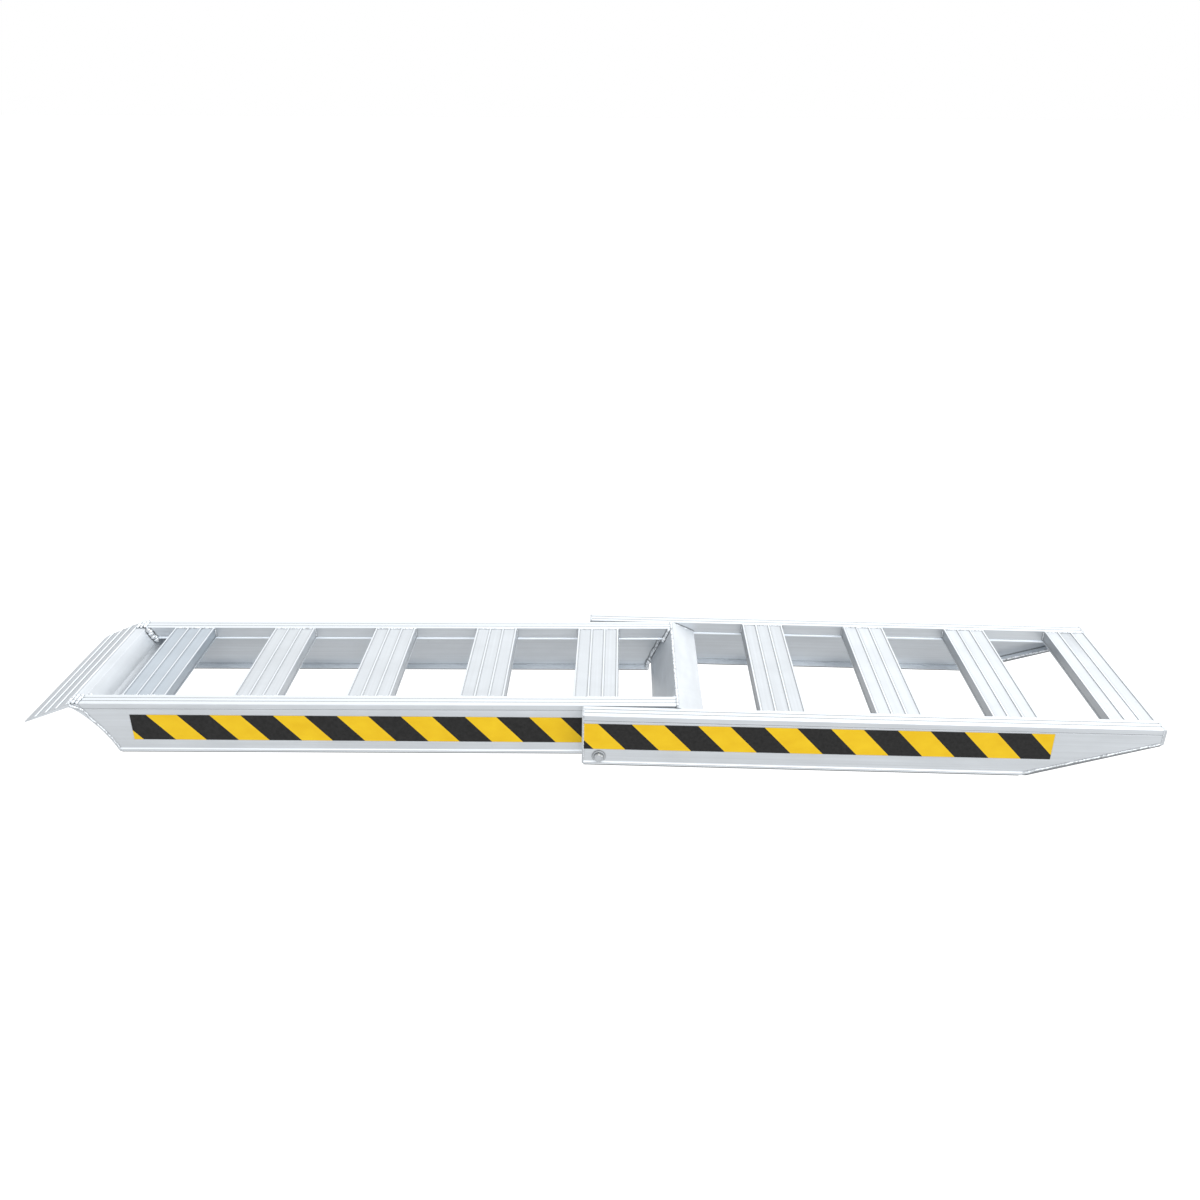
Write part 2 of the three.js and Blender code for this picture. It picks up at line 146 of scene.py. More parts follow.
# The CAD's extrusions, as far as the welds and the painted highlights and shade on the metal follow them
RIB_HEIGHT = 1.5 * MM             # of a tread's ribs
RAIL_HEIGHT = 100 * MM
RAIL_WIDTH = 31 * MM
RAIL_WEB = 3 * MM
FOOT_PROUD = 1 * MM               # how far the rail's foot stands out from its outer face
FOOT_STEP = 7 * MM                # height of the foot
CHORD_DEPTH = 22 * MM
LEDGE = 2.5 * MM                  # how far the ledge stands out, and its thickness
FLANGE_WIDTH = 21 * MM
FLANGE_THICKNESS = 2.5 * MM
STOP_WALL = 4 * MM
LIP_RIB_HEIGHT = 1.8 * MM
LAST_RIB_REACH = 30 * MM          # the lip's last rib lies this near to its tip

# Pivot hardware, M10
TURNED_SEGMENTS = 36
BOLT_RADIUS = 5 * MM
BOLT_POINT = 0.72                 # radius of the bolt's tip, as a share of the bolt's
BORE_RADIUS = 5.5 * MM
THREAD_PITCH = 1.5 * MM
THREAD_DEPTH = 0.6 * MM
THREAD_CHAMFER = 1 * MM
THREAD_BELOW_NUT = 3 * MM
FACE_SHARE = 0.95                 # radius of a hexagon's round face, as a share of its flats'
HEAD_CHAMFER = 1 * MM
HEAD_DISH = 0.3 * MM
DISH_RIM = 0.86                   # radii of the dish's rim and floor, as shares of the face's
DISH_FLOOR = 0.82
NUT_COLLAR = 3 * MM
COLLAR_SHARES = (0.92, 0.86)      # the collar's radii, as shares of the nut's flats'
WASHER_EDGE = 0.4 * MM

# Metal: grey levels, with painted highlights on tops and lines, and painted shade in corners and on faces
# turned from the light
METAL_SHARE = 0.82                # the rest is dull oxide
BLUE = 0.05
FIRST_REFLECTION_BLUE = 0.1                  # painted bluish reflection on the tread next to the hook
RAIL = 0.7
HOOK = 0.75
PLATE = 0.66
# brighter than the plates: painted light, so that the shoes' shaded tops read bright
SHOE = 0.88
ZINC = 0.6
TREAD = {"upper": 0.66, "lower": 0.68}
# darker levels of each section's first tread; on the upper one, next to the hook, this is a painted
# bluish reflection
FIRST_TREAD = {"upper": 0.56, "lower": 0.63}
# level of the painted highlight on the ramp's top
TOP_HIGHLIGHT = 0.78
LINE_HIGHLIGHT = 0.98               # level of the painted highlight along the rails' ledges and feet
# level of the painted highlight on the crests of the lip's ribs
LIP_CREST_HIGHLIGHT = 0.97
STREAK_TONES = (0.92, 1.04)       # shares of a metal's level, as the other tones here
CLOUD_TONE = 0.8
CLOUD_SHARE = 0.4
SCUFF_TONE = 0.62
SCUFF_SHARE = 0.35
SCUFF_ROUGHENS = 0.12
# level of the painted shade in corners, as a share of the metal's
CORNER_SHADE_TONE = 0.3
SHADE_SHARE = 0.7                        # share of a metal's level that is left under painted shade, on faces turned towards the truck and between the lip's ribs
EDGE_SHADE_SHARE = 0.3                  # the same under painted shade on the edges of flanges and shoes
TOPS_HIGHLIGHT_SHARE = 0.85                  # share of painted highlight on the ramp's top
LINE_HIGHLIGHT_SHARE = 0.9                   # the same in the painted highlight lines
LINE_FADE = 1.3                   # where a line has faded out, in halves of its height
FLATS_SHADE_SHARE = 0.7                  # share of painted shade between the lip's ribs
SLANTED_TO = 0.5                  # how squarely a face looks along an axis when it starts to
SQUARE_TO = 0.9                   # count as facing that way, and when it counts fully
# depth of the painted highlight below a top; the lip's painted bands fade over it too
BAND_DEPTH = 0.5 * MM
LINE_HALF = 1.2 * MM              # half the height of the painted highlight lines on ledges and outer feet
FLANGE_LINE_HALF = 0.4 * MM       # the same on the flange
CORNER_SHADE_REACH = 3 * MM              # how near another face must be to cast painted shade into a corner
# the same for the painted shade on welds
WELD_CORNER_SHADE_REACH = 1.1 * MM
CORNER_SHADE_DEPTH = 0.75                # share of painted shade in the deepest corner
METAL_ROUGH = (0.36, 0.54)
HOOK_ROUGH = (0.5, 0.62)
METAL_BUMP = 0.08 * MM
METAL_BUMP_STRENGTH = 0.6
STREAK_BUMP = 0.6                 # share of the bump that the coarse streaks make
WELD_SHARE = 0.35                 # of metal in a weld's shine
WELD_TONES = (0.88, 0.95)
SOOT_TONE = 0.3
SOOT_SHARE = 0.7
# level of the painted shade in a weld's hollows
WELD_CORNER_SHADE_TONE = 0.32
WELD_ROUGH = (0.35, 0.55)
WELD_BUMP = 0.15 * MM
WELD_BUMP_STRENGTH = 0.7

# Patterns: grains per metre along x, y and z
ALONG_X = (3, 260, 260)
ALONG_Y = (260, 3, 260)
HOOK_STREAKS = (60, 3, 60)
PLATE_STREAKS = (60, 12, 60)
SHOE_GRAIN = (60, 60, 60)
ZINC_GRAIN = (300, 300, 300)
FINER = 4                         # times as many grains in the fine streaks
CLOUDS = {"grains": (9, 14, 22), "detail": 4, "roughness": 0.6}
SCUFFS = {"grains": (90, 70, 120), "detail": 5, "roughness": 0.7}
WELD_FROST = {"grains": (700, 700, 700), "detail": 3, "roughness": 0.7}
SOOT = {"grains": (260, 260, 260), "detail": 4, "roughness": 0.6}
TAPE_MOTTLE = {"grains": (160, 160, 160), "detail": 4, "roughness": 0.7}
TAPE_FADING = {"grains": (25, 25, 40), "detail": 3}

# Where a pattern's value starts to show and where it shows fully
MIDDLE = (0.3, 0.7)
WIDE_MIDDLE = (0.25, 0.75)
CLOUD_SPAN = (0.35, 0.7)
SCUFF_SPAN = (0.66, 0.74)
SOOT_SPAN = (0.46, 0.6)
MOTTLE_SPAN = (0.35, 0.75)
CORNER_SPAN = (0.68, 0.98)        # how open a surface is, in a corner and clear of it


# ---------------------------------------------------------------- frame

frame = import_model()
hinge = frame["joints"][0]
PIVOT = Vector(hinge["pos_m"])


class Section:
    """One half of the ramp in its own straight frame: the pivot is the origin, x runs along the
    rails and z is square to their tops."""

    def __init__(self, word, rungs):
        self.word = word
        self.body = f"{word}_section"
        self.rungs = [f"{word}_rung_{i + 1}" for i in range(rungs)]
        first, last = (sum(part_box(rung), Vector()) / 2 for rung in (self.rungs[0], self.rungs[-1]))
        self.tilt = math.atan2(first.z - last.z, last.x - first.x)
        self.to_row = Matrix.Translation(PIVOT) @ Matrix.Rotation(self.tilt, 4, "Y")

    def points(self, node):
        """A CAD node's corners in this frame."""
        from_row = self.to_row.inverted()
        return [from_row @ vertex.co for vertex in frame["nodes"][node].data.vertices]

    def box(self, node):
        """Lowest and highest corner of a CAD node in this frame."""
        points = self.points(node)
        return Vector(map(min, *points)), Vector(map(max, *points))


lower = Section("lower", 4)
upper = Section("upper", 5)


# ---------------------------------------------------------------- node trees

class Tree:
    """Short calls for building a node tree."""

    def __init__(self, node_tree):
        self.nodes = node_tree.nodes
        self.links = node_tree.links

    def new(self, kind, **settings):
        node = self.nodes.new(f"ShaderNode{kind}")
        for name, value in settings.items():
            setattr(node, name, value)
        return node

    def put(self, node, **inputs):
        """Sets a node's sockets, by name or by number (_0, _1), from constants or other sockets."""
        for name, value in inputs.items():
            numbered = name[1:].isdigit()
            socket = node.inputs[int(name[1:])] if numbered else node.inputs[name.replace("_", " ")]
            if isinstance(value, bpy.types.NodeSocket):
                self.links.new(value, socket)
            else:
                socket.default_value = value
        return node

    def split(self, vector):
        node = self.put(self.new("SeparateXYZ"), Vector=vector)
        return [node.outputs[axis] for axis in "XYZ"]

    def math(self, operation, a, b=0, c=0):
        return self.put(self.new("Math", operation=operation), _0=a, _1=b, _2=c).outputs["Value"]

    def span(self, value, low, high, to_low=0, to_high=1):
        """Maps value from low..high to to_low..to_high, clamped."""
        limits = {"From_Min": low, "From_Max": high, "To_Min": to_low, "To_Max": to_high}
        return self.put(self.new("MapRange"), Value=value, **limits).outputs["Result"]

    def mix(self, share, a, b):
        """Colour a, and colour b as share grows from 0 to 1."""
        return self.put(self.new("Mix", data_type="RGBA"), _0=share, _6=a, _7=b).outputs[2]

    def seen_or_reflected(self, seen, reflected):
        """One value where the camera looks straight at the stage, another for the light it gives."""
        ray = self.new("LightPath").outputs["Is Camera Ray"]
        return self.put(self.new("Mix"), _0=ray, _2=reflected, _3=seen).outputs[0]


# ---------------------------------------------------------------- camera, light and floor

def add_camera():
    data = bpy.data.cameras.new("camera")
    data.lens = CAMERA_LENS
    camera = bpy.data.objects.new("camera", data)
    turn = Matrix.Rotation(math.radians(CAMERA_YAW), 4, "Z")
    tip = Matrix.Rotation(math.radians(90 - CAMERA_PITCH), 4, "X")
    roll = Matrix.Rotation(math.radians(CAMERA_ROLL), 4, "Z")
    camera.matrix_world = Matrix.Translation(CAMERA_PLACE) @ turn @ tip @ roll
    bpy.context.scene.collection.objects.link(camera)
    bpy.context.scene.camera = camera


def folded_foot():
    """Height of the ramp's lowest point when it is fully folded."""
    turn = Matrix.Rotation(math.radians(hinge["range_deg"][1]), 4, Vector(hinge["axis"]))
    swing = Matrix.Translation(PIVOT) @ turn @ Matrix.Translation(-PIVOT)
    moving = [n for n in frame["nodes"].values() if n["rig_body"] == hinge["child"]]
    return min((swing @ vertex.co).z for node in moving for vertex in node.data.vertices)


def add_floor():
    """A white floor level with the lowest point of the folded ramp, so that neither the open nor
    the folded ramp goes through it."""
    half = FLOOR_SIZE / 2
    z = folded_foot()
    corners = [(-half, -half, z), (half, -half, z), (half, half, z), (-half, half, z)]
    mesh = bpy.data.meshes.new("floor")
    mesh.from_pydata(corners, [], [(0, 1, 2, 3)])
    floor = bpy.data.objects.new("floor", mesh)
    bpy.context.scene.collection.objects.link(floor)
    material = bpy.data.materials.new("floor")
    material.use_nodes = True
    tree = Tree(material.node_tree)
    surface = tree.nodes["Principled BSDF"]
    shade = (FLOOR_SHADE, FLOOR_SHADE, FLOOR_SHADE, 1)
    tree.put(surface, Base_Color=shade, Roughness=1, Emission_Color=(1, 1, 1, 1))
    tree.put(surface, Emission_Strength=tree.seen_or_reflected(1, FLOOR_GLOW))
    mesh.materials.append(material)


def add_sky():
    """A plain studio dome, brightest above, and brighter in front and behind than at the sides."""
    world = bpy.data.worlds.new("studio")
    bpy.context.scene.world = world
    world.use_nodes = True
    tree = Tree(world.node_tree)
    x, y, z = tree.split(tree.new("TexCoord").outputs["Generated"])
    ends = tree.math("MULTIPLY_ADD", tree.math("MULTIPLY", y, y), SKY_FRONT - SKY_SIDE, SKY_SIDE)
    horizon = tree.math("MULTIPLY_ADD", x, SKY_LEAN, ends)
    rise = tree.span(z, 0, SKY_RISE)
    above = tree.math("MULTIPLY_ADD", x, SKY_LEAN, SKY_TOP)
    glow = tree.math("ADD", tree.math("MULTIPLY", rise, above),
                     tree.math("MULTIPLY", tree.math("SUBTRACT", 1, rise), horizon))
    tree.put(tree.nodes["Background"], Color=(1, 1, 1, 1), Strength=tree.seen_or_reflected(1, glow))


def add_key_light():
    """A square area light aimed at the ramp's middle."""
    data = bpy.data.lights.new("key_light", "AREA")
    data.size = KEY_SIZE
    data.energy = KEY_POWER
    light = bpy.data.objects.new("key_light", data)
    light.location = KEY_PLACE
    light.rotation_euler = (-Vector(KEY_PLACE)).to_track_quat("-Z", "Y").to_euler()
    bpy.context.scene.collection.objects.link(light)


def light_scene():
    bpy.context.scene.view_settings.view_transform = "Standard"
    add_sky()
    add_key_light()


# ---------------------------------------------------------------- materials

class Finish(Tree):
    """A material whose pattern follows a section's own frame."""

    def __init__(self, name, section):
        self.material = bpy.data.materials.new(name)
        self.material.use_nodes = True
        super().__init__(self.material.node_tree)
        self.surface = self.nodes["Principled BSDF"]
        place = self.put(self.new("Mapping", vector_type="TEXTURE"), Location=PIVOT,
                         Rotation=(0, section.tilt, 0), Vector=self.new("TexCoord").outputs["Object"])
        self.place = place.outputs["Vector"]

    def noise(self, grains, detail=3, roughness=0.5):
        """Noise with so many grains per metre along x, y and z."""
        scaled = self.put(self.new("Mapping"), Vector=self.place, Scale=grains).outputs["Vector"]
        node = self.put(self.new("TexNoise"), Vector=scaled, Scale=1, Detail=detail, Roughness=roughness)
        return node.outputs["Fac"]

    def bump(self, height, distance, strength):
        node = self.put(self.new("Bump"), Height=height, Distance=distance, Strength=strength)
        self.put(self.surface, Normal=node.outputs["Normal"])


def grey(level, blue=BLUE):
    """A neutral metal colour, slightly blue."""
    return (level * (1 - blue), level, level * (1 + blue), 1)


def shade_corners(shader, color, dark, reach):
    """The colour, with painted shade darkening the corners of the surface."""
    corner = shader.put(shader.new("AmbientOcclusion", samples=6), Distance=reach)
    return shader.mix(shader.span(corner.outputs["AO"], *CORNER_SPAN, CORNER_SHADE_DEPTH, 0), color, dark)


def no_painted_light(shader, level):
    """No painted highlights or shade: no layers under the painted corner shade and none over it."""
    return [], []


def aluminium(name, section, level, grain, painted_light=no_painted_light, rough=METAL_ROUGH, blue=BLUE):
    """Mill-finish aluminium, with painted shade in its corners. grain is the streaks' grains per metre
    along x, y and z. The fifth argument gives two lists of layers of painted highlight and painted shade,
    each a share
    from 0 to 1 and a grey level: those under and over the corner shade."""
    shader = Finish(name, section)
    streak = shader.noise(grain, detail=2)
    fine = shader.noise([FINER * g for g in grain], detail=2)
    cloud = shader.span(shader.noise(**CLOUDS), *CLOUD_SPAN, 0, CLOUD_SHARE)
    scuff = shader.span(shader.noise(**SCUFFS), *SCUFF_SPAN)
    tones = [grey(level * tone, blue) for tone in STREAK_TONES]
    color = shader.mix(shader.span(streak, *MIDDLE), *tones)
    color = shader.mix(cloud, color, grey(level * CLOUD_TONE, blue))
    color = shader.mix(shader.math("MULTIPLY", scuff, SCUFF_SHARE), color, grey(level * SCUFF_TONE))
    under, over = painted_light(shader, level)
    for share, tone in under:
        color = shader.mix(share, color, grey(tone))
    # painted shade in the corners
    color = shade_corners(shader, color, grey(level * CORNER_SHADE_TONE), CORNER_SHADE_REACH)
    for share, tone in over:
        color = shader.mix(share, color, grey(tone))
    unscuffed = shader.span(streak, *WIDE_MIDDLE, *rough)
    dulled = shader.math("MULTIPLY_ADD", scuff, SCUFF_ROUGHENS, unscuffed)
    shader.put(shader.surface, Metallic=METAL_SHARE, Base_Color=color, Roughness=dulled)
    coarse_height = shader.math("MULTIPLY", streak, STREAK_BUMP)
    fine_height = shader.math("MULTIPLY", fine, 1 - STREAK_BUMP)
    shader.bump(shader.math("ADD", coarse_height, fine_height), METAL_BUMP, METAL_BUMP_STRENGTH)
    return shader.material


def metal_light_and_shade(section):
    """Painted light on the metal: painted highlights at the height of the ramp's top and in lines along
    the rails' ledges, feet and flange tops, and painted shade where it faces the truck and on the feet's
    edges."""
    top = section.box(section.rungs[0])[1].z
    foot = top - RAIL_HEIGHT
    outer = section.box(f"{section.word}_rail_left")[1].y

    # the layers of painted highlight and painted shade
    def painted_light(shader, level):
        # a band of painted highlight about a height
        def line(height, half):
            away = shader.math("ABSOLUTE", shader.math("SUBTRACT", z, height))
            return shader.span(away, half, LINE_FADE * half, LINE_HIGHLIGHT_SHARE, 0)

        _, y, z = shader.split(shader.place)
        outside = shader.math("GREATER_THAN", shader.math("ABSOLUTE", y), outer - RAIL_WEB)
        step = shader.math("MULTIPLY", outside, line(foot + FOOT_STEP, LINE_HALF))
        inside = shader.math("SUBTRACT", 1, outside)
        ledge = shader.math("MULTIPLY", inside, line(top - CHORD_DEPTH, LINE_HALF))
        flange_top = foot + FLANGE_THICKNESS
        flange = line(flange_top, FLANGE_LINE_HALF)
        lines = shader.math("MAXIMUM", shader.math("MAXIMUM", step, ledge), flange)
        # painted highlight on the tops
        tops = shader.span(z, top - BAND_DEPTH, top, 0, TOPS_HIGHLIGHT_SHARE)
        # painted shade on faces turned towards the truck, away from the light
        facing_x = shader.split(shader.new("NewGeometry").outputs["Normal"])[0]
        towards_truck = shader.span(facing_x, -SQUARE_TO, -SLANTED_TO, 1, 0)
        # painted shade on the edges below the flange's top
        edges = shader.span(z, flange_top - 2 * FLANGE_LINE_HALF, flange_top, 1, 0)
        return ([(towards_truck, level * SHADE_SHARE), (edges, level * EDGE_SHADE_SHARE)],
                [(tops, TOP_HIGHLIGHT), (lines, LINE_HIGHLIGHT)])
    return painted_light


def shaded_sides(shader, level):
    """Painted shade on the long sides of a bar, below its bead."""
    facing_y = shader.split(shader.new("NewGeometry").outputs["Normal"])[1]
    sides = shader.span(shader.math("ABSOLUTE", facing_y), SLANTED_TO, SQUARE_TO)
    return [(sides, level * EDGE_SHADE_SHARE)], []


def hook_crest(side):
    """The hook's highest corner on one side of the ramp: side is 1 on the left (+y)."""
    corners = [p for p in upper.points("truck_hook") if side * p.y > 0]
    return max(corners, key=lambda p: p.z)


def lip_light_and_shade(shader, level):
    """Painted highlights on the crests of the lip's ribs, which lie on one slope, and painted shade
    between.
    """
    left, right = hook_crest(1), hook_crest(-1)
    skew = (left.x - right.x) / (left.y - right.y)
    points = [p - Vector((skew * p.y, 0, 0)) for p in upper.points("truck_hook")]
    tip = min(p.x for p in points)
    top = max(points, key=lambda p: p.z)
    last = max((p for p in points if p.x < tip + LAST_RIB_REACH), key=lambda p: p.z)
    slope = (top.z - last.z) / (top.x - last.x)
    x, y, z = shader.split(shader.place)
    square_x = shader.math("MULTIPLY_ADD", y, -skew, x)
    crest = shader.math("MULTIPLY_ADD", square_x, slope, top.z - slope * top.x)
    depth = shader.math("SUBTRACT", crest, z)
    # painted highlight on the crests and painted shade on the flats
    crest_highlight = shader.span(depth, BAND_DEPTH, 2 * BAND_DEPTH, 1, 0)
    flat = shader.math("ABSOLUTE", shader.math("SUBTRACT", depth, LIP_RIB_HEIGHT))
    flat_shade = shader.span(flat, BAND_DEPTH, 2 * BAND_DEPTH, FLATS_SHADE_SHARE, 0)
    return [(flat_shade, level * SHADE_SHARE)], [(crest_highlight, LIP_CREST_HIGHLIGHT)]


def weld_material(section):
    """Bright weld metal, frosted, sooty in patches, and with painted shade in its hollows."""
    shader = Finish(f"{section.word}_weld_metal", section)
    frost = shader.noise(**WELD_FROST)
    soot = shader.span(shader.noise(**SOOT), *SOOT_SPAN)
    color = shader.mix(shader.span(frost, *MIDDLE), *map(grey, WELD_TONES))
    color = shader.mix(shader.math("MULTIPLY", soot, SOOT_SHARE), color, grey(SOOT_TONE))
    # painted shade in the weld's hollows
    color = shade_corners(shader, color, grey(WELD_CORNER_SHADE_TONE), WELD_CORNER_SHADE_REACH)
    rough = shader.span(frost, *MIDDLE, *WELD_ROUGH)
    shader.put(shader.surface, Metallic=WELD_SHARE, Base_Color=color, Roughness=rough)
    shader.bump(frost, WELD_BUMP, WELD_BUMP_STRENGTH)
    return shader.material


def tape_material(section):
    """Yellow and black stripes that lean back along the rail. They read the same from both sides
    of the ramp, as a tape turned end for end does."""
    shader = Finish(f"{section.word}_hazard_tape", section)
    x, y, z = shader.split(shader.place)
    along = shader.math("MULTIPLY", shader.math("SIGN", y), x)
    lean = shader.math("MULTIPLY_ADD", z, STRIPE_LEAN[section.word], -STRIPE_START[section.word])
    phase = shader.math("SUBTRACT", lean, along)
    turn = shader.math("FRACT", shader.math("DIVIDE", phase, STRIPE_PERIOD[section.word]))
    black = shader.math("GREATER_THAN", turn, YELLOW_SHARE)
    mottle = shader.noise(**TAPE_MOTTLE)
    ink = shader.mix(shader.span(mottle, *MOTTLE_SPAN), *INK)
    paint = shader.mix(shader.span(shader.noise(**TAPE_FADING), *MIDDLE), *PAINT)
    rough = shader.span(mottle, *MIDDLE, *TAPE_ROUGH)
    shader.put(shader.surface, Base_Color=shader.mix(black, paint, ink), Roughness=rough)
    shader.put(shader.surface, Specular_IOR_Level=TAPE_SHEEN)
    shader.bump(mottle, TAPE_BUMP, TAPE_BUMP_STRENGTH)
    return shader.material


def finishes(section):
    """The section's materials, each by a part of its nodes' names. A node takes the first that
    fits, and the last one fits every name."""
    word = section.word
    light_and_shade = metal_light_and_shade(section)
    # the tread next to the hook gets a painted bluish reflection
    first_reflection_blue = FIRST_REFLECTION_BLUE if section is upper else BLUE
    zinc = aluminium(f"{word}_zinc_steel", section, ZINC, ZINC_GRAIN)
    by_name = {
        "rung_1": aluminium(f"{word}_first_tread", section, FIRST_TREAD[word], ALONG_Y, light_and_shade,
                            blue=first_reflection_blue),
        "rung_": aluminium(f"{word}_tread", section, TREAD[word], ALONG_Y, light_and_shade),
        "rail_": aluminium(f"{word}_rail", section, RAIL, ALONG_X, light_and_shade),
        "tape_": tape_material(section),
        "pivot_": zinc,
        "washer_": zinc,
    }
    if section is upper:
        by_name["hook"] = aluminium("hook_aluminium", section, HOOK, HOOK_STREAKS, lip_light_and_shade, HOOK_ROUGH)
    else:
        # painted shade on the shoes' long sides
        by_name["shoe_"] = aluminium("lower_shoe", section, SHOE, SHOE_GRAIN, shaded_sides)
    by_name[""] = aluminium(f"{word}_plate_aluminium", section, PLATE, PLATE_STREAKS)
    return by_name


def assign(node, material):
    node.data.materials.clear()
    node.data.materials.append(material)


def finish_nodes():
    """Gives every CAD node its finish, and slightly rounded edges unless it is tape."""
    for section in (lower, upper):
        by_name = finishes(section)
        for name, node in frame["nodes"].items():
            if node["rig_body"] == section.body:
                key = next(part for part in by_name if part in name)
                assign(node, by_name[key])
                if key != "tape_":
                    round_edges(node)


def round_edges(node):
    """Joins the CAD mesh's split corners and breaks its sharp edges."""
    join = node.modifiers.new("join_corners", "WELD")
    join.merge_threshold = JOIN_DISTANCE
    flat = node.modifiers.new("flat_faces", "DECIMATE")
    flat.decimate_type = "DISSOLVE"
    flat.angle_limit = math.radians(FLAT_ANGLE)
    bevel = node.modifiers.new("edges", "BEVEL")
    bevel.width = EDGE_ROUNDING
    bevel.segments = 2
    bevel.limit_method = "ANGLE"
    bevel.angle_limit = math.radians(SHARP_ANGLE)


# ---------------------------------------------------------------- pieces

def add_piece(name, section, mesh, material, smooth=True):
    """Makes a piece of the ramp from a bmesh drawn in the section's frame."""
    mesh.transform(section.to_row)
    bmesh.ops.recalc_face_normals(mesh, faces=mesh.faces)
    data = bpy.data.meshes.new(name)
    mesh.to_mesh(data)
    mesh.free()
    data.polygons.foreach_set("use_smooth", [smooth] * len(data.polygons))
    data.materials.append(material)
    piece = bpy.data.objects.new(name, data)
    bpy.context.scene.collection.objects.link(piece)
    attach(piece, section.body)
    return piece


def walk(path, step):
    """Points about a step apart along a path, both ends included."""
    spans = [(b - a).length for a, b in zip(path, path[1:])]
    count = max(2 * RIPPLE_STEPS, round(sum(spans) / step))
    points = []
    leg = 0
    passed = 0
    for i in range(count + 1):
        at = sum(spans) * i / count
        while leg < len(spans) - 1 and at > passed + spans[leg]:
            passed += spans[leg]
            leg += 1
        points.append(path[leg].lerp(path[leg + 1], (at - passed) / spans[leg]))
    return points


def add_tube(mesh, centres, radii):
    """A closed round tube through the centres."""
    rings = []
    side = TUBE_START
    for i, (centre, radius) in enumerate(zip(centres, radii)):
        ahead = (centres[min(i + 1, len(centres) - 1)] - centres[max(i - 1, 0)]).normalized()
        side = (side - ahead * side.dot(ahead)).normalized()
        up = ahead.cross(side)
        angles = [math.tau * k / BEAD_SIDES for k in range(BEAD_SIDES)]
        spokes = [radius * (math.cos(a) * side + math.sin(a) * up) for a in angles]
        rings.append([mesh.verts.new(centre + spoke) for spoke in spokes])
    for ring, following in zip(rings, rings[1:]):
        for k in range(BEAD_SIDES):
            n = (k + 1) % BEAD_SIDES
            mesh.faces.new((ring[k], ring[n], following[n], following[k]))
    mesh.faces.new(rings[0])
    mesh.faces.new(rings[-1])


def weld(name, section, paths, radius, ripple):
    """A hand-laid weld along each path: ripples that overlap, uneven in size and place."""
    chance = random.Random(name)
    mesh = bmesh.new()
    for path in paths:
        points = walk(path, ripple / RIPPLE_STEPS)
        centres = []
        radii = []
        for i, point in enumerate(points):
            if i % RIPPLE_STEPS == 0:
                swell = chance.uniform(1 - RIPPLE_SWELL, 1 + RIPPLE_SWELL)
                shift = radius * RIPPLE_WANDER * Vector([chance.uniform(-1, 1) for _ in range(3)])
            fall = (i % RIPPLE_STEPS) / RIPPLE_STEPS
            closeness = min(i, len(points) - 1 - i) / RIPPLE_STEPS
            taper = min(1, BEAD_START + closeness)
            centres.append(point + shift)
            radii.append(radius * swell * taper * (1 - RIPPLE_FALL * fall))
        add_tube(mesh, centres, radii)
    add_piece(name, section, mesh, weld_finish[section.word])


def rung_welds(section):
    """A bead round both ends of every rung: up one wall, across the deck and down the other."""
    for rung in section.rungs:
        points = section.points(rung)
        low, high = section.box(rung)
        walls = [p.x for p in points if p.z > (low.z + high.z) / 2]
        deck = high.z - RIB_HEIGHT
        arch = [(min(walls), low.z), (min(walls), deck), (max(walls), deck), (max(walls), low.z)]
        paths = [[Vector((x, y, z)) for x, z in arch] for y in (low.y, high.y)]
        weld(f"{rung}_weld", section, paths, RUNG_BEAD, FINE_RIPPLE)


